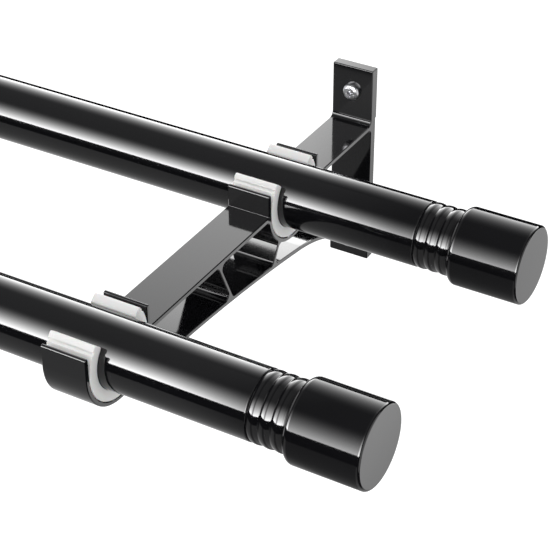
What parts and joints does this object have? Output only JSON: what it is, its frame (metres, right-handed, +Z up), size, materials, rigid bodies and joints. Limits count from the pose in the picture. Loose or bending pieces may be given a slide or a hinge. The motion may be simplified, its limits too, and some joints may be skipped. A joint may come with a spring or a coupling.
{
  "type": "double curtain pole",
  "caption": "Double curtain pole: parallel round poles with ringed cap finials, held level by truss-shaped wall brackets with open cradles and plastic liners.",
  "frame": {"origin": "on the wall plane, at the centre of the rectangle of wall screws", "axes": "+X along the poles, +Y into the wall, +Z up"},
  "size_m": [1.093, 0.2404, 0.099],
  "materials": {
    "black_steel": "gloss",
    "black_aluminium": "gloss",
    "white_nylon": "satin",
    "dark_nylon": "matte",
    "bright_steel": "polished"
  },
  "bodies": {
    "root": {"front_pole": "black_steel", "rear_pole": "black_steel", "right_bracket": "black_aluminium", "right_front_liner": "white_nylon", "right_front_finial": "black_aluminium", "right_front_plug": "dark_nylon", "right_rear_liner": "white_nylon", "right_rear_finial": "black_aluminium", "right_rear_plug": "dark_nylon", "right_upper_screw": "bright_steel", "right_lower_screw": "bright_steel", "left_bracket": "black_aluminium", "left_front_liner": "white_nylon", "left_front_finial": "black_aluminium", "left_front_plug": "dark_nylon", "left_rear_liner": "white_nylon", "left_rear_finial": "black_aluminium", "left_rear_plug": "dark_nylon", "left_upper_screw": "bright_steel", "left_lower_screw": "bright_steel"}
  },
  "joints": []
}
